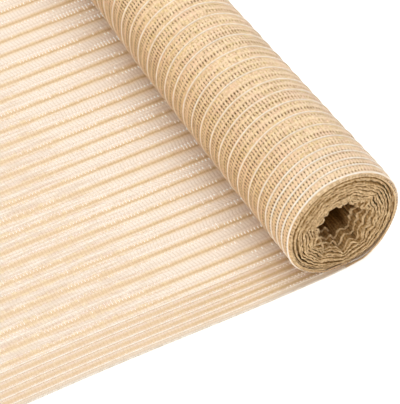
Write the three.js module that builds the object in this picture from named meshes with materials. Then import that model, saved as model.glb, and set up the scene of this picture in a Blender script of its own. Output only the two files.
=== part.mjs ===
// A privacy screen net, partly unrolled. The wound roll lies on its own outer turn, which runs on as a flat
// loose end. Millimetres, +Z up. The roll's axis lies along Y with its open front end at -Y, and the loose end
// runs towards -X.
import * as THREE from 'three';

// The net
const NET_WIDTH = 1000;
const SHEET_THICKNESS = 1.6;
const GAP = 0.3;

// The roll
const END_RADIUS = 59.5; // at its very ends, where the corded edges curl in
const BELLY = 3.1; // how much further out the roll reaches a little way in from its ends
const BELLY_LENGTH = 7;
const BELLY_PLACE = 40; // where the roll is at its widest
const WAIST = 3.5; // the corded edges make the roll this much fatter near its ends than at its middle
const END_INSET = 4.5; // the roll's ends stand back this far from the long edges of the loose end
const FLAT_SPOT = 0.8; // the roll settles this far into its flat spot
const STEP_PLACE = -1; // left of this the roll lies on the loose end, and right of it on the ground
const ROUND_STEPS = 90;
const UNEVENNESS = 0.35; // how far the outside dips, in the two slow waves of this table
const OUTSIDE_WAVES = [
  { round: 3, along: 90, start: 0 },
  { round: 2, along: -60, start: 1 },
];
const OUTSIDE_STATIONS = [2.5, 6, 11.5, 21.5, 37.5, 85, 175, 305, 435]; // from each end
const HOLLOW_DEPTHS = [16, 30, 55, 100, 170, 270, 390];

// The loose end, measured from the roll's axis to the cut edge
const LOOSE_LENGTH = 460;
const LOOSE_START = 4.8; // where it passes under the roll's last step
const LOOSE_STEPS_ALONG = 20;
const LOOSE_STEPS_ACROSS = 24;
const CURL_LENGTH = 90;
const CURL_HEIGHT = 3;
const CURL_WAVE = { share: 0.3, length: 70, start: 1 };
const EDGE_WANDER = { width: 1, length: 55 };

// Folds of the crumpled hollow, seen on the front end: the angle from +X towards +Z in degrees,
// and how far the innermost turn reaches from the roll's axis, as a share of the roll's radius.
const FOLDS = [
  { angle: 0, reach: 0.51 },
  { angle: 14, reach: 0.45 },
  { angle: 29, reach: 0.52 },
  { angle: 50, reach: 0.35 },
  { angle: 70, reach: 0.40 },
  { angle: 92, reach: 0.32 },
  { angle: 122, reach: 0.41 },
  { angle: 142, reach: 0.33 },
  { angle: 171, reach: 0.50 },
  { angle: 189, reach: 0.43 },
  { angle: 208, reach: 0.57 },
  { angle: 222, reach: 0.51 },
  { angle: 236, reach: 0.59 },
  { angle: 250, reach: 0.49 },
  { angle: 271, reach: 0.69 },
  { angle: 287, reach: 0.54 },
  { angle: 304, reach: 0.64 },
  { angle: 317, reach: 0.47 },
  { angle: 328, reach: 0.56 },
  { angle: 337, reach: 0.49 },
  { angle: 348, reach: 0.57 },
];
const MEAN_REACH = 0.48;
const FOLD_SWAY = 7; // degrees that the folds turn to and fro along the roll
const FOLD_SLACK = 0.35; // share of the folds' depth that is lost half way along the roll

// Relief of the wound end: the share of the way from the hollow to the outside, and how far the turns there
// stand back.
const END_RELIEF = [
  { share: 0, recess: 9 },
  { share: 0.1, recess: 4 },
  { share: 0.18, recess: 5.5 },
  { share: 0.26, recess: 2 },
  { share: 0.42, recess: 3 },
  { share: 0.5, recess: 1 },
  { share: 0.64, recess: 0.8 },
  { share: 0.68, recess: 5 },
  { share: 0.73, recess: 0.6 },
  { share: 0.9, recess: 0.4 },
  { share: 1, recess: 0 },
];
const SLACK_RING_SHIFT = 0.07; // the gap under the outer turns lies further out at the lower right
const SLACK_RING_ANGLE = -60;

const TAN = 0xdcb987;
const CREAM = 0xf3e0c4;

const toRadians = THREE.MathUtils.degToRad;

// The roll's outer radius at a place across the net, before its unevenness.
function rollRadius(y) {
  const fromEnd = Math.min(y, NET_WIDTH - y) - END_INSET;
  const belly = BELLY * (1 - Math.exp(-fromEnd / BELLY_LENGTH));
  const waist = WAIST * Math.sin((Math.PI * fromEnd) / (NET_WIDTH - 2 * END_INSET));
  return END_RADIUS + belly - waist;
}

function outsideRadius(angle, y) {
  const waves = OUTSIDE_WAVES.map((wave) => Math.sin(wave.round * angle + y / wave.along + wave.start));
  const mean = (waves[0] + waves[1]) / 2;
  return rollRadius(y) - UNEVENNESS * (0.5 - 0.5 * mean);
}

// A closed curve through the folds: between two rows the reach passes over on a half cosine.
function foldReach(degrees) {
  const turned = ((degrees % 360) + 360) % 360;
  const next = FOLDS.findIndex((fold) => fold.angle > turned);
  const last = next < 0 ? FOLDS[FOLDS.length - 1] : FOLDS[next - 1];
  const following = next < 0 ? { angle: 360, reach: FOLDS[0].reach } : FOLDS[next];
  const way = (turned - last.angle) / (following.angle - last.angle);
  const blend = 0.5 - 0.5 * Math.cos(Math.PI * way);
  return THREE.MathUtils.lerp(last.reach, following.reach, blend);
}

// The hollow's radius. Along the roll its folds sway a little and grow slacker towards the middle.
function hollowRadius(angle, y) {
  const middle = Math.sin((Math.PI * y) / NET_WIDTH);
  const sway = FOLD_SWAY * Math.sin((4 * Math.PI * y) / NET_WIDTH);
  const reach = foldReach(THREE.MathUtils.radToDeg(angle) + sway);
  const kept = 1 - FOLD_SLACK * middle;
  return END_RADIUS * (MEAN_REACH + (reach - MEAN_REACH) * kept);
}

// The underside: flat on the ground to the right of the axis, one step up over the loose end to its left.
function underside(x) {
  return x > STEP_PLACE ? 0 : SHEET_THICKNESS + GAP;
}

// The roll's closed section as it is turned. A point's y lies along the roll, and its x is one more than
// the share of the way from the hollow to the outside.
function rollProfile() {
  const nearFront = (share, depth) => new THREE.Vector2(1 + share, END_INSET + depth);
  const nearBack = (share, depth) => new THREE.Vector2(1 + share, NET_WIDTH - END_INSET - depth);
  const front = END_RELIEF.map((row) => nearFront(row.share, row.recess));
  const back = END_RELIEF.map((row) => nearBack(row.share, row.recess)).reverse();
  const outsideFront = OUTSIDE_STATIONS.map((depth) => nearFront(1, depth));
  const outsideBack = OUTSIDE_STATIONS.map((depth) => nearBack(1, depth)).reverse();
  const deepBack = HOLLOW_DEPTHS.map((depth) => nearBack(0, depth));
  const deepFront = HOLLOW_DEPTHS.map((depth) => nearFront(0, depth)).reverse();
  const middle = new THREE.Vector2(1, NET_WIDTH / 2);
  return [...front, ...outsideFront, ...outsideBack, ...back, ...deepBack, middle, ...deepFront, front[0].clone()];
}

// The hollow runs straight on, and the turns outside it follow the belly and the waist.
function placeRollPoint(point) {
  const angle = Math.atan2(point.z, point.x);
  const share = Math.hypot(point.x, point.z) - 1;
  const shift = SLACK_RING_SHIFT * Math.cos(angle - toRadians(SLACK_RING_ANGLE));
  const way = share + shift * 4 * share * (1 - share);
  const radius = THREE.MathUtils.lerp(hollowRadius(angle, point.y), outsideRadius(angle, point.y), way);
  const x = radius * Math.cos(angle);
  const centre = THREE.MathUtils.lerp(END_RADIUS, rollRadius(point.y), way) - FLAT_SPOT;
  const z = centre + radius * Math.sin(angle);
  return new THREE.Vector3(x, point.y, Math.max(z, underside(x)));
}

function placeLoosePoint(point) {
  const along = LOOSE_START + (LOOSE_LENGTH - LOOSE_START) * (0.5 - point.x);
  const across = point.y + NET_WIDTH / 2;
  const nearEdge = (2 * point.y) / NET_WIDTH;
  const wander = EDGE_WANDER.width * nearEdge * nearEdge * Math.sin(along / EDGE_WANDER.length);
  const curl = THREE.MathUtils.clamp((along - LOOSE_LENGTH + CURL_LENGTH) / CURL_LENGTH, 0, 1);
  const wave = CURL_WAVE.share * (Math.sin(across / CURL_WAVE.length + CURL_WAVE.start) - 1);
  const lift = CURL_HEIGHT * curl * curl * (1 + wave);
  return new THREE.Vector3(-along, across + wander, point.z + SHEET_THICKNESS / 2 + lift);
}

// Moves every point of a plain solid to its place on the real form.
function reshape(geometry, place) {
  const position = geometry.attributes.position;
  const point = new THREE.Vector3();
  for (let i = 0; i < position.count; i += 1) {
    point.fromBufferAttribute(position, i);
    position.setXYZ(i, ...place(point).toArray());
  }
  geometry.computeVertexNormals();
  return geometry;
}

function cloth(name, geometry, color) {
  const material = new THREE.MeshStandardMaterial({ color, roughness: 0.85, metalness: 0 });
  const mesh = new THREE.Mesh(geometry, material);
  mesh.name = name;
  return mesh;
}

// The wound roll: one solid with its crumpled hollow right through it.
function rolledNet() {
  const turned = new THREE.LatheGeometry(rollProfile(), ROUND_STEPS);
  return cloth('rolled_net', reshape(turned, placeRollPoint), TAN);
}

// The loose end: one sheet that lies flat and curls up a little at its cut edge.
function looseEnd() {
  const steps = [LOOSE_STEPS_ALONG, LOOSE_STEPS_ACROSS, 1];
  const sheet = new THREE.BoxGeometry(1, NET_WIDTH, SHEET_THICKNESS, ...steps);
  return cloth('loose_end', reshape(sheet, placeLoosePoint), CREAM);
}

const net = new THREE.Group();
net.add(rolledNet(), looseEnd());
net.position.set((LOOSE_LENGTH - rollRadius(BELLY_PLACE)) / 2, -NET_WIDTH / 2, 0);

export default net;
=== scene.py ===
"""The looks of a knitted privacy screen net, partly unrolled.

Every surface is worked out in millimetres from the net's own lines: the roll's axis lies along Y at x = 0,
the net's front edge is at y = 0, and the loose end's cut edge lies towards -X. in_frame() then moves the
points to the CAD model's place.
"""
import math

import bpy
import numpy as np
from mathutils import Matrix, Vector


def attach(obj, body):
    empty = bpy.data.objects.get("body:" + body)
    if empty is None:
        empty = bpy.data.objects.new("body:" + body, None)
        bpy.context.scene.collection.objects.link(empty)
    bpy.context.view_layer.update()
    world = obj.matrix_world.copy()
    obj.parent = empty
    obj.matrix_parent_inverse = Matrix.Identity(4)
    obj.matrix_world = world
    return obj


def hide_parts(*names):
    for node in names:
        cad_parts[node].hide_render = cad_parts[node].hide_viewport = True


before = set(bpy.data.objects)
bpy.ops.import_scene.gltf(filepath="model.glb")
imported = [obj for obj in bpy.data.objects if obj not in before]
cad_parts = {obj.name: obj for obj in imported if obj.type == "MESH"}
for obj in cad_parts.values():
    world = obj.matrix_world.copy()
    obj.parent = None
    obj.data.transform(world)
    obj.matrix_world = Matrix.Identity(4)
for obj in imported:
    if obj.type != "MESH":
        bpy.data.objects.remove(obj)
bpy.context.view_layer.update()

# The net and the roll, in millimetres, as in the CAD model
NET_WIDTH = 1000.0
END_RADIUS = 59.5
BELLY = 3.1
BELLY_LENGTH = 7.0
BELLY_PLACE = 40.0
WAIST = 3.5
END_INSET = 4.5
FLAT_SPOT = 0.8
UNEVENNESS = 0.35
OUTSIDE_WAVES = ((3, 90.0, 0.0), (2, -60.0, 1.0))  # times round, length along the roll, start
LOOSE_LENGTH = 460.0
CURL_LENGTH = 90.0
CURL_HEIGHT = 3.0
CURL_WAVE = (0.3, 70.0, 1.0)  # share, length, start
EDGE_WANDER = (1.0, 55.0)  # width, length
MEAN_REACH = 0.48
FOLD_FADE = 1.5  # how quickly the folds die away from the hollow to the outside
FOLD_SWAY = 7.0
FOLD_SLACK = 0.35
SLACK_RING_SHIFT = 0.07
SLACK_RING_ANGLE = math.radians(-60)

# Folds of the crumpled hollow: angle from +X towards +Z in degrees, and reach as a share of the roll's radius
FOLDS = (
    (0, 0.51), (14, 0.45), (29, 0.52), (50, 0.35), (70, 0.40), (92, 0.32), (122, 0.41),
    (142, 0.33), (171, 0.50), (189, 0.43), (208, 0.57), (222, 0.51), (236, 0.59), (250, 0.49),
    (271, 0.69), (287, 0.54), (304, 0.64), (317, 0.47), (328, 0.56), (337, 0.49), (348, 0.57),
)

# The winding: turns are counted inwards from where the outer turn leaves the ground. WINDING gives a turn and
# where it lies on the way from the hollow, 0, to the outside, 1.
TURNS = 14.0
WINDING = ((0, 1.0), (1, 0.93), (3, 0.745), (4, 0.645), (10.5, 0.02), (14, -0.27))
WOUND_START = 0.97  # the wound turns begin here, just before the outer turn ends
OUTER_TURN_END = (0.9, 1.1)  # what is the outer turn's own passes away between these
HALF_CLOTH = (0.34, 0.42, 1.2)  # half a wound turn's thickness: share of the room there, least and most
SLACK_TURN = (3.5, 0.5, 0.4)  # the turn beside the wide gap: which, over how many turns, how much thinner
LAYER_AT_GROUND = 1.35  # each turn lies at least this much above the one below it
SURFACE_DEPTH = 0.2  # the outer turn's middle lies this far under the CAD model's outside
KEPT_BELLY = 0.8  # the share of the belly that the outer turn keeps at the roll's very ends
STEPS_PER_TURN = (115, 190)  # of the wound turns, outside and in the core
CORE_START = 10.0  # the first of the core's turns
CORE_SPACING = 0.9  # from one of them to the next, at least
TURNS_KEPT_CLEAR = 6  # how many turns within it each turn makes room for
NET_END_DROP = 8.0  # at the net's inner end that room is given up: by this much
NET_END_FADE = 0.02  # and over this share of a turn
FREE_CORE = (-14.0, 16.0, -24.7, 13.3)  # the see-through core: left, right, below and above the axis
CORE_MARGIN = 1.2  # the innermost turn stays this far outside it
CORE_BEND = 1.5  # how softly the turns bend where they meet that limit
# How far each turn's edge stands back from the roll's end, from the outer turn to the innermost
TURN_RECESS = (0.1, 3.6, 2.6, 1.2, 1.4, 2.8, 1.0, 3.0, 1.3, 3.6, 2.4, 6.0, 12.0, 19.0, 29.0)
RECESS_START = (0.85, 1.0)  # the outer turn's edge begins to stand back between these turns
RECESS_LEAST = 0.1
# The side towards the loose end: distance from the roll's end, and how far it swells out or is pressed in
SIDE_SWELL = (
    (0, 2.8), (60, 2.8), (90, 1.9), (130, 1.8), (160, 0.8), (200, 0), (250, -1.2),
    (320, -3.5), (380, -7), (430, -11), (465, -12.5), (500, -13),
)
SIDE_ANGLE = (192.0, 75.0)  # the middle of that side and how wide it is
SWELL_TURNS = (1.5, 12.5)  # the turns from full swell to none
# Where the wound turns have their points, from an edge towards the middle
STATIONS = (0.0, 1.2, 4.0, 8.0, 12.0, 16.5, 21.0, 27.0, 38.0, 60.0, 130.0, 300.0, 410.0)

# Waves of the turns: depth, times round, shift from turn to turn, length along the roll and start
LEVEL = math.inf  # the length of a wave that is the same all along the roll
DENTS = ((0.2, 4, 0.0, 120.0, 0.0), (0.15, 7, 0.0, -75.0, 1.0))
RIPPLES = ((0.45, 19, -0.9, -70.0, 0.0),)
UNDER_WAVES = (
    (0.24, 2, 2.7, LEVEL, 0.0), (0.24, -3, 1.9, LEVEL, 1.0),
    (0.28, 31, 2.1, LEVEL, 0.0), (0.2, 47, -1.4, 30.0, 0.0),
)
EDGE_WAVES = ((0.35, 3, 1.0, LEVEL, 0.0), (0.25, 7, 2.0, LEVEL, 0.0))
CORE_WANDER = ((0.5, 0, 0.0, 11.0, 0.0), (0.4, -2, 0.0, 19.0, 0.0))
CORE_DEPTHS = ((1.3, 3, 0.4, 13.0, 0.0), (0.8, 5, 0.0, LEVEL, 0.0))
CORE_RIPPLES = ((0.35, 26, 1.0, 9.0, 0.0),)
# The folds between them
CRUMPLE = (1.9, 6.5, 0.35, 150.0)  # depth, times round, shift from turn to turn, length along the roll
CRUMPLE_TURNS = (4, 11)  # the turns over which they grow
CRUMPLE_POWER = 0.7  # the folds' roundness, and a lower one is sharper
CRUMPLE_MEAN = 0.71  # their mean height
CORE_FOLDS = (4.0, 8.5, 0.25)  # of the innermost turns: mean depth, times round, shift from turn to turn
CORE_FOLD_TURNS = (9.6, 11.0)
CORE_FOLD_POWER = 0.75

# The knit, across the net's width
EDGE_CORD_PLACES = (6.3, 16.1, 26.0, 37.5, 47.9)  # from each long edge
EDGE_CORDS = len(EDGE_CORD_PLACES)
WIDE_BANDS = 45
# The first wide bands, in mean pitches
NEAR_GAPS = (0.761, 0.985, 1.06, 1.04, 0.896, 0.931, 1.045, 0.911, 0.916, 1.075, 0.916, 0.936)
GAP_WAVES = ((0.05, 2.4, 0.8), (0.03, 5.3, 0.0))  # of the other bands: share, step from band to band, start
RUNG_PITCH = 3.7
TURN_RUNGS = 101.0  # rungs once round the roll
OUTER_LENGTH = 1.02  # turns of the outer turn's piece, which passes under its own start
HOLE_LEAST = 0.17  # a slot narrower than this share of the rung pitch is knitted shut
# Strips of a band from one cord to the next: kind, width in millimetres, how open its slots are
OUTER_WIDE_BAND = (
    ("knit", 2.0, 0), ("open", 2.1, 0.2), ("bar", 1.5, 0), ("open", 2.5, 0.62), ("chain", 3.4, 0),
    ("open", 2.0, 0.35), ("bar", 1.4, 0), ("open", 2.0, 0.3), ("knit", 2.6, 0),
)
OUTER_NARROW_BAND = (
    ("knit", 1.4, 0), ("open", 1.9, 0.7), ("knit", 3.6, 0), ("open", 1.9, 0.7), ("knit", 1.4, 0),
)
INNER_WIDE_BAND = (
    ("knit", 3.2, 0), ("open", 3.2, 0.05), ("chain", 3.4, 0), ("open", 3.4, 0.1), ("bar", 1.0, 0),
    ("open", 2.8, 0.15), ("knit", 3.4, 0),
)
INNER_NARROW_BAND = (
    ("knit", 1.6, 0), ("open", 1.4, 0.1), ("chain", 2.6, 0), ("knit", 2.4, 0), ("open", 1.2, 0.2),
    ("knit", 1.4, 0),
)
OUTER_EDGE_BAND = (("knit", 2.0, 0), ("open", 2.3, 1.6), ("knit", 2.0, 0))
INNER_EDGE_BAND = (("knit", 2.0, 0), ("knit", 2.3, 0), ("knit", 2.0, 0))
# How far each kind of strip stands out, on the outer face and on the inner face
OUTER_RELIEF = {"knit": 0.1, "bar": -0.1, "chain": 0.14, "cord": 0.2}
INNER_RELIEF = {"knit": 0.15, "bar": -0.1, "chain": -0.15, "cord": 0.25}
BAND_BULGE = 0.4  # the middle of a band stands out by this much
KNIT_ROUGHNESS = 0.16  # how unevenly the knit's points stand out
# A slot's width, as a share of the rung pitch: at no openness, for each unit of openness, and at least
SLOT_WIDTH = (0.1, 0.25, 0.12)
OUTER_SLOT_MOST = 0.42
LOOSE_SLOT_MOST = 0.2
# How much the openness differs: from strip to strip, in slow waves, in quick waves and from slot to slot
SLOT_SPREADS = (0.22, 0.34, 0.18, 0.5)
SLOW_WAVE = (30, 35)  # length at least, and how much more at most
QUICK_WAVE = (9, 8)
ANY_START = 6.3  # a wave starts anywhere in about one round
SLOT_SWAY = (0.35, 0.3)  # a slot's corners move across by this at most, and by this share of the strip beside
GAPING = (0.75, 0.77, 0.13)  # the outer slots gape: by how much, at which turn, over how much of a turn
CLOSED_UP_TO = (40, 80)  # and they are closed from where the roll rests up to here
CLOSING = 2.5
LOOSE_GAPING = (0.1, 150)  # the loose end's slots gape where it comes out: by how much, and over what length
# Rungs, in shares of their pitch
LINE_WIDTH = 0.3  # between two rungs where there is no slot
RUNG_SHAKE = 0.05
BAND_SHIFT = 0.6  # how far the rungs of a band are shifted against the next band's
BAND_SLANT = 0.12
SHIFT_FADE = 9  # over this many rungs the shift begins at the net's cut edges
RUNG_SIDES = (0.22, 0.78)  # a rung's two sides in the knit's coordinate
BAND_COUNT = 2 * EDGE_CORDS + WIDE_BANDS
EDGE_SHARE = 0.97  # the share of the outermost band that has the edge's colour
WOUND_BAND = 10.0  # band width of the wound turns' pattern
CORD_RADIUS = 0.75
EDGE_CORD_RADIUS = 0.95
STITCH_SWELL = (1.12, 0.86)  # a cord's thickness at a stitch and between two of them
CORD_LIFT = 0.4
CORD_SINKS = ((0.16, 9.0, 2.7), (0.1, 3.7, 1.0))  # depth, length in steps, shift with the cord's place
SIDE_TURN = 0.82  # where the cords sink deeper into the knit, on the side that faces the loose end
SIDE_SINK = (0.5, 18.0)  # how deep, and over how many steps
CORD_STEPS = 32  # along the loose end
CORD_JOINT = 6.0  # where they stop, before the roll's lowest line
CORD_LAST_TURN = 1.01
CORD_SWAY = (0.5, 37.0)  # to and fro twice round the roll: width, and shift with the cord's place
CORD_SHIVER = (0.25, 23.0)  # width and waves round the roll
INNER_CORD_RADIUS = 0.8
INNER_CORD_SWELL = (1.1, 0.9)
INNER_CORD_LIFT = 0.45
STRAND_SIDES = 6
STRAND_TWIST = 2.0  # stitches from one point of a strand to the next
LOOSE_STEPS = 124  # of the strands along the loose end's edges
LOOSE_BEAD_RADIUS = 1.0
BEAD_SPREAD = 0.55  # an edge's two strands lie this far out in the cloth's half thickness, and are as thick
BEAD_RADIUS = (0.4, 0.7)  # at least and at most
CORE_BEAD_MORE = 0.4  # how much thicker they are in the core
BEAD_KNOTS = (0.3, 1.2, 0.4)  # how uneven: in and out, along the roll, and in thickness
BEAD_CURL_END = (0.93, 1.03)  # the outer turn's curled edge passes into the next turn between these
NET_HEIGHT = 1.4  # of the loose end's middle surface over the ground
EDGE_BEND = 2.0  # the outer turn's edge bends over the roll's end at this radius
EDGE_GATHER = 0.3  # and its last part is gathered to this share of its width
LOOSE_EDGE = 0.9  # the loose end's edge beads lie this far in
CURL_START = (-24.0, 62.0)  # from the roll's lowest line, where the flat edge turns into the curled one

# The camera, as the photograph's outlines give it
CAMERA_TARGET = (-75.9, 156.7, 0.0)
CAMERA_DISTANCE = 3976.0
CAMERA_AZIMUTH = math.radians(-27.74)
CAMERA_ELEVATION = math.radians(43.82)
CAMERA_ROLL = math.radians(-2.28)
FOCAL_PIXELS = 4000.0
PICTURE_SIDE = 404.0
SENSOR = 36.0
CAMERA_REACH = 50.0  # in metres, as are the lamps' and the floor's sizes
ROOM_LIGHT = 0.74
FLOOR_SIDE = 12.0

TINY = 1e-6
UP = np.array([0.0, 0.0, 1.0])
chance = np.random.default_rng(7)


def in_frame(points):
    """Moves points from the roll's own lines, in millimetres, to the CAD model's frame, in metres."""
    shift = np.array([(LOOSE_LENGTH - roll_radius(BELLY_PLACE)) / 2, -NET_WIDTH / 2, 0.0])
    return (np.asarray(points, float) + shift) * 0.001


# Making meshes


def new_piece(name, points, faces, across, material):
    """A mesh object from points in millimetres and arrays of faces; across is the points' knit coordinate."""
    points = in_frame(points.reshape(-1, 3))
    corners = np.concatenate([part.ravel() for part in faces])
    totals = np.concatenate([np.full(len(part), part.shape[1]) for part in faces])
    mesh = bpy.data.meshes.new(name)
    mesh.vertices.add(len(points))
    mesh.vertices.foreach_set("co", points.ravel())
    mesh.loops.add(len(corners))
    mesh.loops.foreach_set("vertex_index", corners.astype(np.int32))
    mesh.polygons.add(len(totals))
    mesh.polygons.foreach_set("loop_start", (np.cumsum(totals) - totals).astype(np.int32))
    mesh.polygons.foreach_set("loop_total", totals.astype(np.int32))
    mesh.polygons.foreach_set("use_smooth", np.full(len(totals), True))
    mesh.update(calc_edges=True)
    layer = mesh.uv_layers.new(name="knit")
    layer.data.foreach_set("uv", across.reshape(-1, 2)[corners].astype(np.float32).ravel())
    mesh.validate()
    mesh.materials.append(material)
    piece = bpy.data.objects.new(name, mesh)
    bpy.context.scene.collection.objects.link(piece)
    return piece


def grid_faces(rows, columns, round_rows=False, turned=False):
    """Quads of a grid whose points are numbered row by row.

    round_rows joins each row's last point to its first, and turned makes the faces point the other way.
    """
    i, j = np.meshgrid(np.arange(rows - 1), np.arange(columns if round_rows else columns - 1), indexing="ij")
    k = (j + 1) % columns
    quads = np.stack([i * columns + j, i * columns + k, (i + 1) * columns + k, (i + 1) * columns + j], -1)
    quads = quads.reshape(-1, 4)
    return quads[:, ::-1] if turned else quads


def tubes(centres, normals, radius):
    """Round strands, each along a row of centres, with the section radius * (cos a * normal + sin a * side).

    side is the cross product of the strand's direction and the normal, and a flat cap closes both ends.
    """
    sides = STRAND_SIDES
    strands, steps, _ = centres.shape
    along = np.gradient(centres, axis=1)
    along /= np.linalg.norm(along, axis=2, keepdims=True)
    side = np.cross(along, normals)
    side /= np.linalg.norm(side, axis=2, keepdims=True)
    normal = np.cross(side, along)
    angle = np.arange(sides) * 2 * math.pi / sides
    radius = np.broadcast_to(np.asarray(radius, float), centres.shape[:2])[:, :, None, None]
    ring = np.cos(angle)[:, None] * normal[:, :, None] + np.sin(angle)[:, None] * side[:, :, None]
    points = centres[:, :, None] + radius * ring
    one = grid_faces(steps, sides, round_rows=True)
    first = (np.arange(strands) * steps * sides)[:, None, None]
    walls = (one[None] + first).reshape(-1, 4)
    cap = np.arange(sides)[None] + first[:, 0]
    ends = np.concatenate([cap[:, ::-1], cap + (steps - 1) * sides])
    step, place = np.meshgrid(np.arange(steps), np.arange(sides) / sides, indexing="ij")
    across = np.broadcast_to(np.stack([step, place], -1), (strands, steps, sides, 2))
    return points, [walls, ends], across


def spiral_normals(points, axis):
    """Outward unit normals of a surface wound about the Y axis; axis is the one along the winding."""
    forward = np.gradient(points, axis=axis)
    normals = np.stack([forward[..., 2], 0 * forward[..., 0], -forward[..., 0]], -1)
    return normals / np.linalg.norm(normals, axis=2, keepdims=True)


# The roll's form


def ramp(value, low, high):
    """Zero below low, one above high, and straight between them."""
    return np.clip((value - low) / (high - low), 0, 1)


def smooth(value, low, high):
    """Zero below low, one above high, and a smooth step between them."""
    way = ramp(value, low, high)
    return way * way * (3 - 2 * way)


def soft_positive(value, reach=0.5):
    """Nearly zero below zero, nearly the value above it, and a soft bend between them as long as reach.

    The bend is set a little lower than it would lie, so that it keeps closer to both lines at zero.
    """
    return 0.5 * (value + np.sqrt(value**2 + reach**2)) - 0.15 * reach


def fold_reach(angle):
    """The hollow's reach: from each inward lobe it runs on a parabola to the sharp fold beside it."""
    table = np.array(FOLDS + ((360, FOLDS[0][1]),), float)
    degrees = np.degrees(angle) % 360
    row = np.clip(np.searchsorted(table[:, 0], degrees, side="right") - 1, 0, len(table) - 2)
    way = (degrees - table[row, 0]) / (table[row + 1, 0] - table[row, 0])
    near, far = table[row, 1], table[row + 1, 1]
    outward = near + (far - near) * way**1.6
    inward = far + (near - far) * (1 - way) ** 1.6
    return np.where(far > near, outward, inward)


def roll_radius(y):
    """The end's radius, plus a belly that is reached a little way in, less a waist deepest half way along."""
    from_end = np.maximum(np.minimum(y, NET_WIDTH - y) - END_INSET, 0.0)
    belly = BELLY * (1 - np.exp(-from_end / BELLY_LENGTH))
    return END_RADIUS + belly - WAIST * np.sin(math.pi * from_end / (NET_WIDTH - 2 * END_INSET))


def outside_radius(angle, y):
    """The outside: the roll's radius less a dip of two slow waves."""
    mean = sum(np.sin(n * angle + y / along + start) for n, along, start in OUTSIDE_WAVES) / 2
    return roll_radius(y) - UNEVENNESS * (0.5 - 0.5 * mean)


def hollow_radius(angle, y):
    """The hollow: the folds' reach, swaying a little along the roll and slacker towards its middle."""
    kept = 1 - FOLD_SLACK * np.sin(math.pi * y / NET_WIDTH)
    sway = math.radians(FOLD_SWAY) * np.sin(4 * math.pi * y / NET_WIDTH)
    return END_RADIUS * (MEAN_REACH + (fold_reach(angle + sway) - MEAN_REACH) * kept)


def waves(table, turn, angle, y):
    """The sum of a table's sine waves round and along the roll, passing on from turn to turn."""
    return sum(
        depth * np.sin(times * angle + shift * turn + y / length + start)
        for depth, times, shift, length, start in table
    )


def crumple(turn, angle, y):
    """Waves of each turn, and folds that grow towards the hollow and pass slowly from one turn to the next.

    The folds are round towards the roll's axis, sharp away from it, and zero on the average.
    """
    depth, times, shift, length = CRUMPLE
    wave = np.abs(np.sin(times * angle + shift * turn + y / length)) ** CRUMPLE_POWER
    folds = depth * (CRUMPLE_MEAN - wave) + waves(RIPPLES, turn, angle, y)
    under = ramp(turn, 1, 2) * waves(UNDER_WAVES, turn, angle, y)
    return waves(DENTS, turn, angle, y) + ramp(turn, *CRUMPLE_TURNS) * folds + under


def core_folds(turn, angle, y):
    """Folds of the loose innermost turns, all outwards: round lobes with a sharp fold between two of them.

    They wander a little along the roll, and no two are equally deep.
    """
    mean, times, shift = CORE_FOLDS
    depth = mean + waves(CORE_DEPTHS, turn, angle, y)
    phase = times * angle + shift * turn + waves(CORE_WANDER, turn, angle, y)
    sharp = 1 - np.abs(np.sin(phase)) ** CORE_FOLD_POWER
    return ramp(turn, *CORE_FOLD_TURNS) * (depth * sharp + waves(CORE_RIPPLES, turn, angle, y))


def side_swell(turn, angle, y):
    """How far the turns swell out on the side towards the loose end; less than zero is pressed in."""
    middle, width = SIDE_ANGLE
    depth = np.interp(np.minimum(y, NET_WIDTH - y), *np.array(SIDE_SWELL, float).T)
    away = (np.degrees(angle) - middle + 180) % 360 - 180
    hump = np.cos(math.pi / 2 * np.clip(away / width, -1, 1)) ** 2
    return depth * hump * (1 - ramp(turn, *SWELL_TURNS))


def core_limit(angle):
    """Distance from the axis to the edge of the see-through core."""
    left, right, below, above = FREE_CORE
    x, z = np.cos(angle), np.sin(angle)
    side = np.where(x > 0, right, -left) / np.maximum(np.abs(x), TINY)
    height = np.where(z > 0, above, -below) / np.maximum(np.abs(z), TINY)
    return np.minimum(side, height) + CORE_MARGIN


def full_belly(turn, y):
    """How much further out the outer turn lies near the roll's ends, where it keeps most of the belly."""
    from_end = np.maximum(np.minimum(y, NET_WIDTH - y) - END_INSET, 0.0)
    return KEPT_BELLY * BELLY * np.exp(-from_end / BELLY_LENGTH) * (1 - smooth(turn, *OUTER_TURN_END))


def turn_way(turn, angle):
    """Where a turn lies on the way from the hollow to the outside, shifted to one side by the slack ring."""
    share = np.interp(turn, *np.array(WINDING, float).T)
    shift = SLACK_RING_SHIFT * np.cos(angle - SLACK_RING_ANGLE)
    return share + shift * 4 * share * (1 - share)


def turn_radius(turn, angle, y):
    """How far a turn lies from the axis: blended from the hollow's outline to the outside, plus its folds."""
    way = turn_way(turn, angle)
    mean = END_RADIUS * MEAN_REACH
    folded = np.maximum(1 - way, 0) ** np.where(way > 0, FOLD_FADE, 1.0)
    outside = outside_radius(angle, y) - SURFACE_DEPTH
    radius = mean * (1 - way) + (hollow_radius(angle, y) - mean) * folded + outside * way
    radius = radius + crumple(turn, angle, y) + side_swell(turn, angle, y) + full_belly(turn, y)
    least = core_limit(angle) + CORE_SPACING * (TURNS - turn)
    return least + soft_positive(radius - least, CORE_BEND) + core_folds(turn, angle, y)


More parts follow.
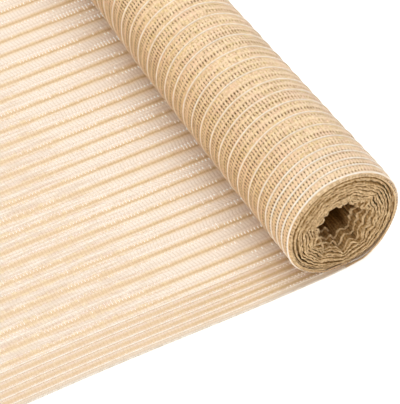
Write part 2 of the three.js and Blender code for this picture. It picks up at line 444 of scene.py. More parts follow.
def winding_point(turn, y, drop=0.0):
    """A point of the wound net: at its turn's radius, or further out where the turns within it need the room.

    drop is how much nearer to the axis the point lies than that, and it stays above the turns under it.
    """
    angle = -math.pi / 2 + 2 * math.pi * turn
    radius = turn_radius(turn, angle, y)
    for step in range(1, TURNS_KEPT_CLEAR + 1):
        inner = np.minimum(turn + step, TURNS)
        ended = NET_END_DROP * smooth(turn + step, TURNS - NET_END_FADE, TURNS)
        radius = np.maximum(radius, turn_radius(inner, angle, y) + CORE_SPACING * step - ended)
    radius = radius - drop
    way = turn_way(turn, angle)
    x = radius * np.cos(angle)
    centre = END_RADIUS * (1 - way) + roll_radius(y) * way - FLAT_SPOT
    z = centre + radius * np.sin(angle)
    ground = NET_HEIGHT + LAYER_AT_GROUND * turn + drop
    z = ground + soft_positive(z - ground)
    return np.stack([x, y + 0 * x, z], -1)


def curl_share(from_lowest):
    """How far the long edges are curled, at a distance along the net from the roll's lowest line.

    On the loose end that distance is less than zero.
    """
    return smooth(from_lowest, *CURL_START)


def curled_edge(curled, y):
    """How the net's long edges bend over the roll's ends: the new place, the drop and the bend's angle.

    Beyond the first cord the cloth follows a quarter circle and then runs straight inwards.
    """
    first = EDGE_CORD_PLACES[0]
    from_edge = np.minimum(y, NET_WIDTH - y)
    over = np.maximum(first - from_edge, 0)
    angle = np.minimum(over / EDGE_BEND, math.pi / 2)
    straight = np.maximum(over - EDGE_BEND * math.pi / 2, 0)
    drop = curled * (EDGE_BEND * (1 - np.cos(angle)) + EDGE_GATHER * straight)
    place = np.where(over > 0, first - EDGE_BEND * np.sin(angle), from_edge)
    place = place * curled + from_edge * (1 - curled)
    return np.where(y < NET_WIDTH / 2, place, NET_WIDTH - place), drop, angle * curled


def loose_point(along, y):
    """The loose end: flat on the ground, its cut edge curled up a little and its long edges wandering."""
    near_edge = 2 * y / NET_WIDTH - 1
    wander = EDGE_WANDER[0] * near_edge * np.abs(near_edge) * np.sin(along / EDGE_WANDER[1])
    curl = ramp(along, LOOSE_LENGTH - CURL_LENGTH, LOOSE_LENGTH)
    share, length, start = CURL_WAVE
    lift = CURL_HEIGHT * curl**2 * (1 + share * (np.sin(y / length + start) - 1))
    return np.stack([-along + 0 * y, y + wander, NET_HEIGHT + lift + 0 * y], -1)


def loose_place(along, y):
    """The loose end's points and upward normals, its long edges curled up where it passes under the roll."""
    shifted, lift, bend = curled_edge(curl_share(-along), y)
    points = loose_point(along, shifted)
    points[..., 2] += lift
    side = np.where(y < NET_WIDTH / 2, 1.0, -1.0) * np.sin(bend)
    return points, np.stack([0 * side, side, np.cos(bend) + 0 * side], -1)


# The knit across the width


def cord_places():
    """Where the white cords lie: a narrow pitch near both edges and an uneven wide pitch between them."""
    edge = np.array(EDGE_CORD_PLACES)
    number = np.arange(WIDE_BANDS)
    gaps = 1 + sum(share * np.sin(step * number + start) for share, step, start in GAP_WAVES)
    gaps[: len(NEAR_GAPS)] = NEAR_GAPS
    gaps[len(NEAR_GAPS) :] *= (WIDE_BANDS - sum(NEAR_GAPS)) / gaps[len(NEAR_GAPS) :].sum()
    gaps *= (NET_WIDTH - 2 * edge[-1]) / WIDE_BANDS
    wide = edge[-1] + np.cumsum(gaps)[:-1]
    return np.concatenate([edge, wide, NET_WIDTH - edge[::-1]])


def knit_lines(wide_band, narrow_band, edge_band):
    """Lines across the width, their band numbers, and the kind and openness of each strip between them."""
    cords = cord_places()
    lines, bands, strips = [0.0], [0.0], []
    starts = np.concatenate([[0.0], cords])
    ends = np.concatenate([cords, [NET_WIDTH]])
    for number, (start, end) in enumerate(zip(starts, ends)):
        if number == 0:
            band = edge_band
        elif number == len(cords):
            band = edge_band[::-1]
        elif number < EDGE_CORDS or number > len(cords) - EDGE_CORDS:
            band = narrow_band
        else:
            band = wide_band
        widths = np.array([strip[1] for strip in band])
        reached = np.cumsum(widths) / widths.sum()
        lines.extend(start + (end - start) * reached)
        bands.extend(number + reached)
        strips.extend((kind, level) for kind, _, level in band)
    return np.array(lines), np.array(bands), strips


def slot_widths(strips, rungs, opening, most):
    """Each slot's width as a share of the rung pitch, swelling and closing along its strip.

    opening gives how much more open the slots are at a distance along the net, and most is the widest slot.
    """
    widths = np.zeros((len(strips), rungs))
    place = np.arange(rungs) * RUNG_PITCH
    closed, gain, least = SLOT_WIDTH
    by_strip, by_wave, by_ripple, by_slot = SLOT_SPREADS
    for row, (kind, level) in enumerate(strips):
        start, drift, slow, quick = chance.random(4)
        if kind != "open":
            continue
        wave = np.sin(place / (SLOW_WAVE[0] + SLOW_WAVE[1] * slow) + ANY_START * start)
        ripple = np.sin(place / (QUICK_WAVE[0] + QUICK_WAVE[1] * quick) + ANY_START * drift)
        openness = level + opening(place) + by_strip * (drift - 0.5) + by_wave * wave + by_ripple * ripple
        openness += by_slot * (chance.random(rungs) - 0.5)
        widths[row] = np.clip(closed + gain * openness, least, most)
    return widths


def line_relief(bands, strips, relief):
    """How far each line across the width stands out."""
    lift = np.zeros(len(bands))
    for row, (kind, _) in enumerate(strips):
        if kind in ("bar", "chain"):
            lift[row : row + 2] = relief[kind]
        if kind == "knit":
            lift[row : row + 2] = np.maximum(lift[row : row + 2], relief["knit"])
    lift[np.abs(bands - np.round(bands)) < TINY] = relief["cord"]
    return lift


def rung_places(bands, strips, widths, rungs):
    """Where each rung starts and ends on every line, in rungs; each band's rungs are shifted on their own."""
    line_width = np.full((len(bands), rungs), LINE_WIDTH)
    for row, (kind, _) in enumerate(strips):
        if kind == "open":
            line_width[row] = widths[row]
            line_width[row + 1] = widths[row]
    number = np.arange(rungs)
    half = line_width / 2
    shake = RUNG_SHAKE * (chance.random((len(bands), rungs, 2)) - 0.5)
    along = np.stack([number + half, number + 1 - half], -1) + shake
    shift = BAND_SHIFT * (chance.random(int(bands[-1]) + 2) - 0.5)
    band = np.clip(np.floor(bands - TINY).astype(int), 0, None)
    shift = shift[band] + BAND_SLANT * np.sin(2 * math.pi * bands)
    fade = np.minimum(1, np.minimum(number, rungs - 1 - number) / SHIFT_FADE)
    along = along + (shift[:, None] * fade)[..., None]
    along = along.reshape(len(bands), -1)
    ends = np.zeros((len(bands), 1))
    return np.concatenate([ends, along, ends + rungs], 1)


def knitted_net(name, rungs, place, bands_of, relief, opening, most, material):
    """The net as one open surface whose slots are left out between the cross tapes.

    place(along, y) gives a point's middle place and its normal, and along is the distance along the cords.
    Beside a slot a point may shift across the net.
    """
    lines, bands, strips = knit_lines(*bands_of)
    widths = slot_widths(strips, rungs, opening, most)
    along = rung_places(bands, strips, widths, rungs)
    strip_width = np.diff(lines)
    sway, share = SLOT_SWAY
    room = share * np.minimum(strip_width[1:], strip_width[:-1])
    beside_slot = [float("open" in (left[0], right[0])) for left, right in zip(strips, strips[1:])]
    reach = np.concatenate([[0.0], np.minimum(sway, room) * beside_slot, [0.0]])
    across_line = lines[:, None] + 2 * reach[:, None] * (chance.random(along.shape) - 0.5)
    points, normals = place(along * RUNG_PITCH, across_line)
    raised = line_relief(bands, strips, relief) + BAND_BULGE * np.sin(math.pi * (bands % 1)) ** 2
    rough = KNIT_ROUGHNESS * (chance.random(along.shape) - 0.5)
    points = points + normals * (raised[:, None] + rough)[..., None]
    sides = np.arange(rungs)[:, None] + np.array(RUNG_SIDES)
    column = np.concatenate([[0.0], sides.ravel(), [float(rungs)]])
    across = np.stack(np.broadcast_arrays(column[None], bands[:, None]), -1)
    columns = along.shape[1]
    quads = grid_faces(len(lines), columns, turned=True).reshape(len(lines) - 1, columns - 1, 4)
    keep = np.ones(quads.shape[:2], bool)
    keep[:, 2:-1:2] = widths[:, :-1] < HOLE_LEAST
    return new_piece(name, points, [quads[keep]], across, material)


# Materials


class Nodes:
    """Short forms for building a material's nodes."""

    def __init__(self, name):
        self.material = bpy.data.materials.new(name)
        self.material.use_nodes = True
        self.tree = self.material.node_tree
        self.shader = self.tree.nodes["Principled BSDF"]

    def add(self, kind, inputs=(), **settings):
        node = self.tree.nodes.new("ShaderNode" + kind)
        for key, value in settings.items():
            setattr(node, key, value)
        for key, value in dict(inputs).items():
            self.put(node.inputs[key], value)
        return node

    def put(self, socket, value):
        if isinstance(value, bpy.types.NodeSocket):
            self.tree.links.new(value, socket)
        else:
            socket.default_value = value

    def math(self, operation, *values):
        return self.add("Math", enumerate(values), operation=operation).outputs[0]

    def plus(self, first, second):
        return self.math("ADD", first, second)

    def minus(self, first, second):
        return self.math("SUBTRACT", first, second)

    def times(self, first, second):
        return self.math("MULTIPLY", first, second)

    def size(self, value):
        return self.math("ABSOLUTE", value)

    def rest(self, share):
        return self.minus(1.0, share)

    def weigh(self, *parts):
        """The sum of some values, each times its weight."""
        total = 0.0
        for value, weight in parts:
            total = self.plus(total, self.times(value, weight))
        return total

    def mix(self, share, first, second, blend="MIX"):
        node = self.add("Mix", data_type="RGBA", blend_type=blend)
        self.put(node.inputs[0], share)
        self.put(node.inputs[6], first)
        self.put(node.inputs[7], second)
        return node.outputs[2]

    def tint(self, body, share, amount, shade):
        """A body colour with up to amount of a shade mixed in, where share is one."""
        return self.mix(self.times(share, amount), body, shade)

    def noise(self, where, scale, detail=3.0, roughness=0.55):
        inputs = {"Vector": where, "Scale": scale, "Detail": detail, "Roughness": roughness}
        return self.add("TexNoise", inputs).outputs["Fac"]

    def between(self, value, low, high):
        """Zero at low, one at high, and a smooth step between them."""
        inputs = {"Value": value, "From Min": low, "From Max": high}
        return self.add("MapRange", inputs, interpolation_type="SMOOTHSTEP").outputs["Result"]


def colour(red, green, blue):
    """A display colour from 0 to 255 as the linear colour that a shader takes."""
    share = np.array([red, green, blue]) / 255
    linear = np.where(share <= 0.04045, share / 12.92, ((share + 0.055) / 1.055) ** 2.4)
    return (*linear.tolist(), 1.0)


class Knit(Nodes):
    """The patterns that every face of the net shares, worked out from its knit coordinate.

    The coordinate counts rungs along the cords and bands across them.
    """

    def __init__(self, name):
        super().__init__(name)
        part = self.add("SeparateXYZ", {"Vector": self.add("UVMap", uv_map="knit").outputs["UV"]})
        self.along, self.band = part.outputs["X"], part.outputs["Y"]
        self.where = self.add("TexCoord").outputs["Object"]
        self.rung = self.size(self.math("SINE", self.times(self.along, math.pi)))
        self.in_band = self.math("FRACT", self.band)
        self.from_cord = self.minus(0.5, self.size(self.minus(self.in_band, 0.5)))
        from_edge = self.math("MINIMUM", self.band, self.minus(BAND_COUNT, self.band))
        self.narrow = self.math("LESS_THAN", from_edge, EDGE_CORDS)
        self.edge = self.math("LESS_THAN", from_edge, EDGE_SHARE)
        cell = self.add("CombineXYZ", {"X": self.math("FLOOR", self.along), "Y": self.times(self.band, 1.5)})
        self.streak = self.noise(cell.outputs[0], 1.7, 2.0, 0.8)
        strands = {"X": self.times(self.along, 9.0), "Y": self.times(self.band, 5.0)}
        self.fibre = self.noise(self.add("CombineXYZ", strands).outputs[0], 1.0, 2.0)
        drift = {"X": self.times(self.along, 0.12), "Y": self.times(self.band, 7.0)}
        self.drift = self.noise(self.add("CombineXYZ", drift).outputs[0], 1.0, 2.0)

    def groove(self, width):
        """One between two rungs, and nothing on them."""
        return self.rest(self.between(self.rung, 0.0, width))

    def strip(self, place, centre, half):
        """One where a place in a band is near a centre, and nothing further than half away."""
        away = self.size(self.minus(place, centre))
        return self.rest(self.between(away, self.times(half, 0.3), half))

    def tone(self, blotch_size=70.0):
        """Lighter and darker yarn: rung by rung, in blotches, in specks and along the fibres."""
        blotches = self.noise(self.where, blotch_size)
        specks = self.noise(self.where, 330.0, 1.0)
        grain = self.between(self.noise(self.where, 560.0, 1.0), 0.34, 0.66)
        yarn = ((blotches, 0.3), (self.rung, 0.25), (self.streak, 0.6))
        value = self.weigh(*yarn, (specks, 0.45), (self.fibre, 0.3), (grain, 0.45))
        return self.between(value, 0.7, 1.7)

    def paint(self, colours, lines, amount):
        """Finishes the yarn: its colours, its stitched lines' relief and its roughness."""
        self.put(self.shader.inputs["Base Color"], colours)
        self.shader.inputs["Roughness"].default_value = 0.5
        self.shader.inputs["Specular IOR Level"].default_value = 0.4
        self.shader.inputs["Sheen Weight"].default_value = 0.15
        self.shader.inputs["Sheen Roughness"].default_value = 0.4
        slant = self.plus(self.along, self.times(self.from_cord, 5.0))
        stitch = self.size(self.math("SINE", self.times(slant, 2 * math.pi)))
        stitches = self.times(stitch, lines)
        hairs = self.noise(self.where, 900.0, 2.0)
        height = self.weigh((stitches, 0.5), (self.rung, 0.8), (hairs, 0.3), (self.fibre, 0.4))
        bump = self.add("Bump", {"Height": height, "Strength": amount, "Distance": 0.0007})
        self.put(self.shader.inputs["Normal"], bump.outputs["Normal"])
        return self.material


def outer_knit():
    """The tan outer face: painted shade in the grooves between the rungs, a lighter chain in each band and a
    tan edge.

    Painted shade makes the side that faces the loose end a deeper tan, and the other side, from the bottom
    up, a greyer one.
    """
    n = Knit("outer_knit")
    tape = n.mix(n.tone(), colour(192, 150, 98), colour(250, 224, 186))
    hue = n.noise(n.where, 230.0, 2.0)
    tape = n.tint(tape, n.between(hue, 0.5, 0.64), 0.45, colour(230, 200, 136))
    tape = n.tint(tape, n.between(hue, 0.5, 0.36), 0.45, colour(232, 188, 152))
    warm = n.between(n.noise(n.where, 45.0, 1.0), 0.48, 0.72)
    tape = n.tint(tape, warm, 0.35, colour(240, 200, 170))
    tape = n.tint(tape, n.narrow, 0.35, colour(250, 222, 190))
    chain = n.times(n.strip(n.in_band, 0.55, 0.11), n.rest(n.narrow))
    tape = n.tint(tape, chain, 0.45, colour(246, 220, 184))
    # painted shade in the grooves between the rungs, stronger in some patches than in others
    deep = n.between(n.noise(n.where, 38.0, 2.0), 0.3, 0.62)
    groove = n.times(n.groove(0.4), n.plus(0.2, n.times(deep, 0.5)))
    body = n.mix(groove, tape, colour(172, 120, 62))
    near_cord = n.rest(n.between(n.from_cord, 0.03, 0.09))
    body = n.tint(body, near_cord, 0.5, colour(240, 212, 176))
    bent_edge = n.mix(n.between(n.streak, 0.3, 0.7), colour(190, 150, 100), colour(250, 220, 176))
    bent_edge = n.mix(n.between(n.along, 28.0, 0.0), bent_edge, colour(214, 192, 164))
    body = n.tint(body, n.edge, 0.85, bent_edge)
    # painted shade: the side that faces the loose end is made a deeper tan
    side = n.between(n.along, 0.5 * TURN_RUNGS, 0.8 * TURN_RUNGS)
    body = n.mix(side, body, colour(250, 238, 216), "MULTIPLY")
    # painted shade: the other side, from the roll's bottom up, is made a greyer tan
    side = n.between(n.along, 0.46 * TURN_RUNGS, 0.32 * TURN_RUNGS)
    body = n.mix(side, body, colour(238, 231, 222), "MULTIPLY")
    return n.paint(body, near_cord, 0.9)


def inner_knit():
    """The pale inner face: tan chain lines, whitish zones over the cords, a hatch of rungs and painted shade
    near the roll.
    """
    n = Knit("inner_knit")
    wide = n.rest(n.narrow)
    # where the roll's shadow falls on the loose end: painted shade makes the colours darker there
    near_roll_shade = n.between(n.add("SeparateXYZ", {"Vector": n.where}).outputs["X"], -0.03, 0.12)
    body = n.mix(n.tone(), colour(212, 182, 150), colour(232, 208, 184))
    hue = n.noise(n.where, 150.0, 2.0)
    body = n.tint(body, n.between(hue, 0.5, 0.65), 0.5, colour(238, 216, 170))
    body = n.tint(body, n.between(hue, 0.5, 0.35), 0.5, colour(229, 201, 183))
    zone = n.plus(n.times(wide, 0.1), 0.1)
    whitish = n.rest(n.between(n.from_cord, n.times(zone, 0.4), zone))
    body = n.tint(body, whitish, 0.8, n.mix(n.drift, colour(221, 201, 179), colour(240, 224, 206)))
    patch = n.between(n.plus(n.drift, n.times(near_roll_shade, 0.35)), 0.42, 0.72)
    between_chains = n.between(n.from_cord, 0.5, 0.3)
    hatch = n.times(n.times(patch, between_chains), wide)
    # painted shade in the hatch's grooves between the rungs, darker still near the roll
    between = n.mix(near_roll_shade, colour(224, 202, 178), colour(206, 184, 156))
    stripes = n.mix(n.groove(0.55), colour(243, 229, 213), between)
    body = n.tint(body, hatch, 0.85, stripes)
    body = n.tint(body, n.narrow, 0.5, colour(232, 211, 190))
    dip = n.times(n.strip(n.in_band, 0.83, 0.06), wide)
    body = n.tint(body, dip, 0.5, colour(220, 200, 178))
    centre = n.minus(0.44, n.times(n.narrow, 0.01))
    wander = n.times(n.minus(n.drift, 0.5), 0.06)
    beside = n.times(n.strip(n.in_band, centre, 0.3), 0.45)
    # painted shade: the strip beside the chain is darker near the roll
    body = n.mix(beside, body, n.mix(near_roll_shade, colour(248, 224, 180), colour(232, 202, 152)))
    half = n.plus(0.18, n.times(n.narrow, 0.12))
    half = n.minus(half, n.times(near_roll_shade, 0.08))
    chain = n.strip(n.plus(n.in_band, wander), centre, half)
    chain = n.times(chain, n.plus(0.15, n.times(n.streak, 0.85)))
    # painted shade: the chain line is darker near the roll
    body = n.mix(chain, body, n.mix(near_roll_shade, colour(216, 182, 142), colour(198, 164, 112)))
    body = n.tint(body, n.edge, 0.8, colour(226, 208, 186))
    return n.paint(body, chain, 0.55)


def wound_knit():
    """The turns inside the roll, with painted shade: darker deep inside, and the first turn dark where the
    outer turn's slots show it.
    """
    n = Knit("wound_knit")
    # the wound cloth's tan is darker than the outer face's, partly as painted shade inside the roll
    tape = n.mix(n.tone(120.0), colour(150, 112, 62), colour(216, 180, 126))
    # painted shade in the grooves between the rungs
    body = n.tint(tape, n.groove(0.45), 0.55, colour(120, 86, 42))
    # painted shade: the turns grow darker deeper inside the roll, away from its ends
    from_end = n.math("MINIMUM", n.band, n.minus(NET_WIDTH / WOUND_BAND, n.band))
    body = n.mix(n.between(from_end, 1.2, 4.5), body, colour(184, 156, 112), "MULTIPLY")
    # painted shade: the first turn is made dark where the outer turn's slots show it, darkest on the side
    # that faces the loose end
    left_shade_share = n.between(n.along, 0.45 * TURN_RUNGS, 0.62 * TURN_RUNGS)
    slot_shade = n.mix(left_shade_share, colour(168, 118, 58), colour(112, 68, 24))
    body = n.mix(n.math("LESS_THAN", n.along, TURN_RUNGS), body, slot_shade)
    n.paint(body, n.groove(0.3), 0.9)
    n.shader.inputs["Specular IOR Level"].default_value = 0.1
    n.shader.inputs["Sheen Weight"].default_value = 0.0
    return n.material


def strand_material(name, light, dark):
    """A stitched strand: soft bulges along it, one for each stitch, and a fine grain."""
    n = Nodes(name)
    part = n.add("SeparateXYZ", {"Vector": n.add("UVMap", uv_map="knit").outputs["UV"]})
    where = n.add("TexCoord").outputs["Object"]
    turn = n.plus(n.times(part.outputs["X"], STRAND_TWIST), part.outputs["Y"])
    stitch = n.size(n.math("SINE", n.times(turn, math.pi)))
    grain = n.noise(where, 600.0, 2.0)
    patch = n.noise(where, 220.0, 2.0)
    tone = n.weigh((stitch, 0.5), (grain, 0.5))
    shade = n.plus(tone, n.times(n.minus(patch, 0.5), 1.6))
    n.put(n.shader.inputs["Base Color"], n.mix(n.between(shade, 0.1, 0.9), dark, light))
    n.shader.inputs["Roughness"].default_value = 0.55
    n.shader.inputs["Specular IOR Level"].default_value = 0.4
    bump = n.add("Bump", {"Height": tone, "Strength": 0.7, "Distance": 0.0005})
    n.put(n.shader.inputs["Normal"], bump.outputs["Normal"])
    return n.material


def floor_material():
    """A white light table: it shines a little of its own."""
    n = Nodes("light_table")
    where = n.add("TexCoord").outputs["Object"]
    white = n.mix(n.noise(where, 3.0), colour(244, 244, 244), colour(247, 247, 247))
    n.put(n.shader.inputs["Base Color"], white)
    n.shader.inputs["Roughness"].default_value = 0.7
    n.shader.inputs["Emission Color"].default_value = (1.0, 1.0, 1.0, 1.0)
    n.shader.inputs["Emission Strength"].default_value = 0.45
    return n.material


# The pieces


def outer_turn(material):
    """The outermost turn, knitted with open slots, its outer face out."""
    full = TURN_RUNGS * RUNG_PITCH
    rungs = int(OUTER_LENGTH * TURN_RUNGS)

    def place(along, y):
        """On the winding's first turn, with the width wandering a little in two waves round the roll."""
        turn = along / full
        angle = -math.pi / 2 + 2 * math.pi * turn
        wander = (np.sin(3 * angle) + np.sin(5 * angle + 1)) * np.sin(turn * math.pi)
        y = y + wander * (0.5 - y / NET_WIDTH)
        shifted, drop, bend = curled_edge(curl_share(along), y)
        side = np.where(y < NET_WIDTH / 2, -1.0, 1.0) * np.sin(bend)
        normal = np.stack([np.cos(angle) * np.cos(bend), side, np.sin(angle) * np.cos(bend)], -1)
        return winding_point(turn, shifted, drop), normal

    def more_open(along):
        """The slots gape on the side that faces the loose end, and they are closed where the roll rests."""
        depth, middle, width = GAPING
        gaping = depth * np.exp(-(((along / full - middle) / width) ** 2))
        return gaping - CLOSING * (1 - smooth(along, *CLOSED_UP_TO))

    bands = (OUTER_WIDE_BAND, OUTER_NARROW_BAND, OUTER_EDGE_BAND)
    piece = knitted_net("outer_turn", rungs, place, bands, OUTER_RELIEF, more_open, OUTER_SLOT_MOST, material)
    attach(piece, "root")
    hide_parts("rolled_net")


def loose_net(material):
    """The loose end, knitted with open slots, its inner face up."""
    rungs = int(LOOSE_LENGTH / RUNG_PITCH)

    def place(along, y):
        return loose_place(along * LOOSE_LENGTH / (rungs * RUNG_PITCH), y)

    def more_open(along):
        """The slots gape where the cloth comes out from under the roll."""
        depth, length = LOOSE_GAPING
        return depth * np.exp(-((along / length) ** 2))

    bands = (INNER_WIDE_BAND, INNER_NARROW_BAND, INNER_EDGE_BAND)
    piece = knitted_net("loose_net", rungs, place, bands, INNER_RELIEF, more_open, LOOSE_SLOT_MOST, material)
    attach(piece, "root")
    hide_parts("loose_end")


def edge_place(turn, end):
    """Where a turn's cut edge lies along the net's width, at the front end (0) or the back end (1)."""
    angle = 2 * math.pi * turn
    recess = np.interp(turn, np.arange(len(TURN_RECESS)), TURN_RECESS) * smooth(turn, *RECESS_START)
    recess = recess + ramp(turn, 0, 1) * waves(EDGE_WAVES, turn, angle, 0.0)
    recess = END_INSET + np.maximum(recess, RECESS_LEAST)
    return recess if end == 0 else NET_WIDTH - recess


def half_cloth(turn, y):
    """Half a wound turn's thickness: a share of the room to the next turn, and less beside the wide gap."""
    here = winding_point(turn, y)
    above = np.linalg.norm(winding_point(np.maximum(turn - 1, 0), y) - here, axis=-1)
    below = np.linalg.norm(winding_point(np.minimum(turn + 1, TURNS), y) - here, axis=-1)
    room = np.where(turn < 1.5, below, np.where(turn > TURNS - 1, above, np.minimum(above, below)))
    middle, width, thinner = SLACK_TURN
    room = room * (1 - thinner * np.exp(-(((turn - middle) / width) ** 2)))
    share, least, most = HALF_CLOTH
    return np.clip(share * room, least, most)


def wound_turns(material):
    """The turns under the outer one, all the way to the hollow: one spiral cloth with two faces."""
    outside, core = STEPS_PER_TURN
    turn = np.linspace(WOUND_START, CORE_START, int((CORE_START - WOUND_START) * outside), endpoint=False)
    turn = np.concatenate([turn, np.linspace(CORE_START, TURNS, int((TURNS - CORE_START) * core))])
    front = [edge_place(turn, 0) + depth for depth in STATIONS]
    back = [edge_place(turn, 1) - depth for depth in STATIONS[::-1]]
    stations = np.stack(front + [np.full(turn.shape, NET_WIDTH / 2)] + back, 1)
    turns = turn[:, None] + 0 * stations
    middle = winding_point(turns, stations)
    normal = spiral_normals(middle, 0)
    half = half_cloth(turns, stations)[..., None]
    loop = np.concatenate([middle + normal * half, (middle - normal * half)[:, ::-1]], 1)
    columns = loop.shape[1]
    ends = np.stack([np.arange(columns)[::-1], np.arange(columns) + (len(turn) - 1) * columns])
    length = np.concatenate([[0], np.cumsum(np.linalg.norm(np.diff(middle[:, 0], axis=0), axis=1))])
    along = np.broadcast_to((length / RUNG_PITCH)[:, None], loop.shape[:2])
    bands = np.concatenate([stations, stations[:, ::-1]], 1) / WOUND_BAND
    walls = grid_faces(len(turn), columns, round_rows=True, turned=True)
    piece = new_piece("wound_turns", loop, [walls, ends[:, ::-1]], np.stack([along, bands], -1), material)
    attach(piece, "root")
    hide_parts("rolled_net")


def edge_beads(material):
    """The knotted edge of every turn at both ends: two uneven strands that follow it side by side."""
    turn = np.linspace(0.0, TURNS, int(TURNS * STEPS_PER_TURN[1]))
    curled = curl_share(turn * TURN_RUNGS * RUNG_PITCH)
    _, drop, _ = curled_edge(curled, np.zeros_like(turn))
    drop = drop * (1 - smooth(turn, *BEAD_CURL_END))
    start = (1 - curled) * (END_INSET - LOOSE_EDGE)
    turns = np.stack([turn, turn])
    places = np.stack([edge_place(turn, 0) - start, edge_place(turn, 1) + start])
    half = half_cloth(turns, places)
    centres = winding_point(turns, places, drop)
    normals = spiral_normals(centres, 1)
    under = ramp(turn, 0, 1)
    thick = np.clip(BEAD_SPREAD * half, *BEAD_RADIUS)
    thick = thick + CORE_BEAD_MORE * smooth(turn, CORE_START, CORE_START + 1)
    out, along, swell = BEAD_KNOTS
    strands, radii = [], []
    for side in (-1, 1):
        knots = chance.random(centres.shape) - 0.5
        strand = centres + normals * (under * (side * BEAD_SPREAD * half + out * knots[..., 0]))[..., None]
        strand[..., 1] += along * knots[..., 1] * under
        strands.append(strand)
        radii.append(thick * (1 + swell * knots[..., 2]))
    normals = np.tile(normals, (2, 1, 1))
    points, faces, across = tubes(np.concatenate(strands), normals, np.concatenate(radii))
    piece = new_piece("edge_beads", points, faces, across, material)
    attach(piece, "root")
    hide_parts("rolled_net")


def cord_path(y):
    """Each white cord's way: from the cut edge under the loose end, and then once round the roll."""
    along = np.linspace(LOOSE_LENGTH, CORD_JOINT, CORD_STEPS)
    turn = np.linspace(0.0, CORD_LAST_TURN, int(2 * TURN_RUNGS))
    y = y[:, None]
    flat = loose_point(along[None] + 0 * y, y + 0 * along[None])
    hump = np.sin(math.pi * np.clip(turn, 0, 1))
    sway, length = CORD_SWAY
    shiver, count = CORD_SHIVER
    wobble = sway * np.sin(4 * math.pi * turn + y / length) * hump**2
    wobble = wobble + shiver * np.sin(count * turn + y) * hump
    round_it = winding_point(turn[None] + 0 * y, y + wobble)
    angle = -math.pi / 2 + 2 * math.pi * turn
    out = np.stack([np.cos(angle), 0 * angle, np.sin(angle)], -1)
    down = np.broadcast_to(-UP, flat.shape)
    out = np.broadcast_to(out, round_it.shape)
    return np.concatenate([flat, round_it], 1), np.concatenate([down, out], 1)


def white_cords(material):
    """The raised white cords on the outer face, thicker near both edges.

    Each cord swells at every stitch, and it sinks into the knit here and there.
    """
    cords = cord_places()
    centres, normals = cord_path(cords)
    steps = centres.shape[1]
    step = np.arange(steps)[None]
    sunk = sum(depth * np.sin(step / length + shift * cords[:, None]) for depth, length, shift in CORD_SINKS)
    depth, reach = SIDE_SINK
    from_side = step - steps + 2 * TURN_RUNGS * (1 - SIDE_TURN)
    sunk = sunk - depth * np.exp(-((from_side / reach) ** 2))
    centres = centres + normals * (CORD_LIFT + sunk)[..., None]
    from_edge = np.minimum(cords, NET_WIDTH - cords)
    radius = np.where(from_edge < EDGE_CORD_PLACES[-1] + TINY, EDGE_CORD_RADIUS, CORD_RADIUS)
    radius = radius[:, None] * np.where(step % 2 == 0, *STITCH_SWELL)
    points, faces, across = tubes(centres, normals, radius)
    piece = new_piece("white_cords", points, faces, across, material)
    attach(piece, "root")
    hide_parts("rolled_net", "loose_end")


def inner_edge_cords(material):
    """The cords near both edges, where they also show on the loose end's inner face."""
    near = np.array(EDGE_CORD_PLACES)
    near = np.concatenate([near, NET_WIDTH - near])
    along = np.linspace(LOOSE_LENGTH, 0.0, LOOSE_STEPS)
    centres = loose_point(along[None] + 0 * near[:, None], near[:, None] + 0 * along[None])
    up = np.broadcast_to(UP, centres.shape)
    radius = INNER_CORD_RADIUS * np.where(np.arange(LOOSE_STEPS) % 2 == 0, *INNER_CORD_SWELL)
    points, faces, across = tubes(centres + up * INNER_CORD_LIFT, up, radius)
    piece = new_piece("inner_edge_cords", points, faces, across, material)
    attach(piece, "root")
    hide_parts("loose_end")


def loose_edges(material):
    """The beads of the loose end's two long edges."""
    along = np.linspace(LOOSE_LENGTH, 0.0, LOOSE_STEPS)[None]
    y = np.array([LOOSE_EDGE, NET_WIDTH - LOOSE_EDGE])[:, None]
    centres, _ = loose_place(along + 0 * y, y + 0 * along)
    up = np.broadcast_to(UP, centres.shape)
    points, faces, across = tubes(centres, up, LOOSE_BEAD_RADIUS)
    piece = new_piece("loose_edges", points, faces, across, material)
    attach(piece, "root")
    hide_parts("loose_end")


# The stage


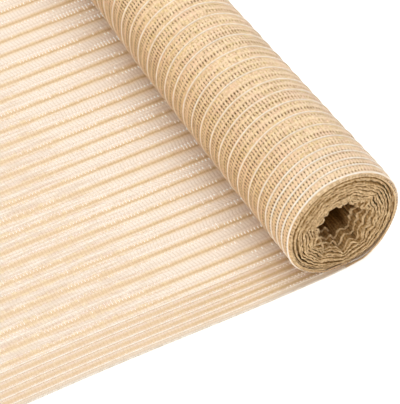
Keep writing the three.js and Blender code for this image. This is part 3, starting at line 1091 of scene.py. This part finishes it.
def camera():
    """The photograph's long view from the front left, looking down on the roll's open end."""
    back = Vector((
        math.sin(CAMERA_AZIMUTH) * math.cos(CAMERA_ELEVATION),
        -math.cos(CAMERA_AZIMUTH) * math.cos(CAMERA_ELEVATION),
        math.sin(CAMERA_ELEVATION),
    ))
    level = Vector((math.cos(CAMERA_AZIMUTH), math.sin(CAMERA_AZIMUTH), 0.0))
    upright = level.cross(-back)
    turned = math.cos(CAMERA_ROLL) * level + math.sin(CAMERA_ROLL) * upright
    upright = -math.sin(CAMERA_ROLL) * level + math.cos(CAMERA_ROLL) * upright
    place = Matrix((turned, upright, back)).transposed().to_4x4()
    place.translation = Vector(in_frame([CAMERA_TARGET])[0]) + back * CAMERA_DISTANCE * 0.001
    data = bpy.data.cameras.new("camera")
    data.sensor_width = SENSOR
    data.lens = FOCAL_PIXELS * SENSOR / PICTURE_SIDE
    data.clip_end = CAMERA_REACH
    view = bpy.data.objects.new("camera", data)
    view.matrix_world = place
    bpy.context.scene.collection.objects.link(view)
    bpy.context.scene.camera = view


def soft_light(name, place, target, size, power):
    """A round lamp that shines from its place towards its target."""
    data = bpy.data.lights.new(name, "AREA")
    data.shape = "DISK"
    data.size = size
    data.energy = power
    lamp = bpy.data.objects.new(name, data)
    lamp.location = place
    lamp.rotation_euler = (Vector(target) - Vector(place)).to_track_quat("-Z", "Y").to_euler()
    bpy.context.scene.collection.objects.link(lamp)


def lighting():
    """A white room, one large soft lamp high behind the roll and a weak one in front."""
    world = bpy.data.worlds.new("white_room")
    world.use_nodes = True
    background = world.node_tree.nodes["Background"]
    background.inputs["Color"].default_value = (1.0, 1.0, 1.0, 1.0)
    background.inputs["Strength"].default_value = ROOM_LIGHT
    bpy.context.scene.world = world
    soft_light("key_lamp", place=(0.3, 0.5, 2.7), target=(0.1, -0.2, 0.0), size=2.6, power=38.0)
    soft_light("front_lamp", place=(-1.2, -2.0, 1.8), target=(0.1, -0.3, 0.0), size=1.8, power=10.0)
    bpy.context.scene.view_settings.view_transform = "Standard"


def floor():
    """One large square under the net."""
    mesh = bpy.data.meshes.new("floor")
    corners = [(x * FLOOR_SIDE / 2, y * FLOOR_SIDE / 2, 0) for x, y in ((-1, -1), (1, -1), (1, 1), (-1, 1))]
    mesh.from_pydata(corners, [], [(0, 1, 2, 3)])
    mesh.materials.append(floor_material())
    ground = bpy.data.objects.new("floor", mesh)
    bpy.context.scene.collection.objects.link(ground)


camera()
lighting()
floor()

cord_finish = strand_material("white_cord", colour(255, 246, 232), colour(244, 222, 194))
edge_finish = strand_material("pale_edge", colour(238, 226, 210), colour(212, 196, 174))
bead_finish = strand_material("edge_bead", colour(244, 212, 162), colour(174, 134, 84))

outer_turn(outer_knit())
loose_net(inner_knit())
wound_turns(wound_knit())
edge_beads(bead_finish)
white_cords(cord_finish)
inner_edge_cords(cord_finish)
loose_edges(edge_finish)
